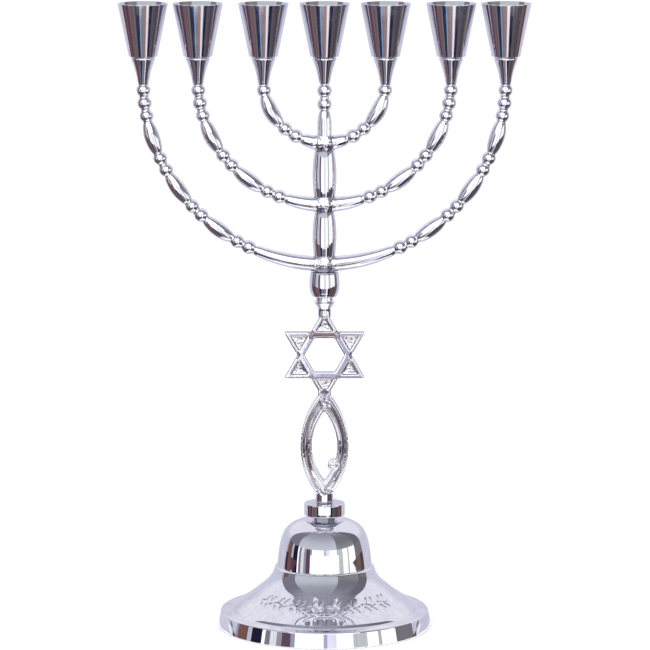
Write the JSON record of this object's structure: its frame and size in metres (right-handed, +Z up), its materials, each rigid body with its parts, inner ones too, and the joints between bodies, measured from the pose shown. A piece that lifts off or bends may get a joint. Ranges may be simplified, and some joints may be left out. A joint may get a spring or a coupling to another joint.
{
  "type": "seven-branch candelabrum",
  "caption": "Seven-branch table candelabrum in polished plated metal, with beaded curved arms, conical cups, a star-and-fish panel and a bell-shaped foot.",
  "frame": {"origin": "centre of the circle on which the bell's rim stands", "axes": "+Z up along the stem, +X along the row of cups to the viewer's right, -Y towards the front, which carries the eye of the fish on the right"},
  "size_m": [0.1652, 0.0874, 0.254],
  "materials": {
    "turned_plate": "mirror-polished plating on spun and turned brass",
    "cast_plate": "polished plating on cast brass, slightly uneven, with rough patches at the joints",
    "cup_plate": "polished plating on turned brass, with fine turning lines",
    "fastener": "plain steel"
  },
  "bodies": {
    "root": {"bell_base": "turned_plate", "base_collar": "turned_plate", "base_washer": "fastener", "base_screw": "fastener", "seal_panel": "cast_plate", "stem_socket": "turned_plate", "stem_barrel_lower": "turned_plate", "stem_barrel_upper": "turned_plate", "stem_top": "cast_plate", "tie_rod": "fastener", "outer_branch": "cast_plate", "middle_branch": "cast_plate", "inner_branch": "cast_plate", "cup_screws": "fastener", "candle_cup_1": "cup_plate", "candle_cup_2": "cup_plate", "candle_cup_3": "cup_plate", "candle_cup_4": "cup_plate", "candle_cup_5": "cup_plate", "candle_cup_6": "cup_plate", "candle_cup_7": "cup_plate"}
  },
  "joints": []
}
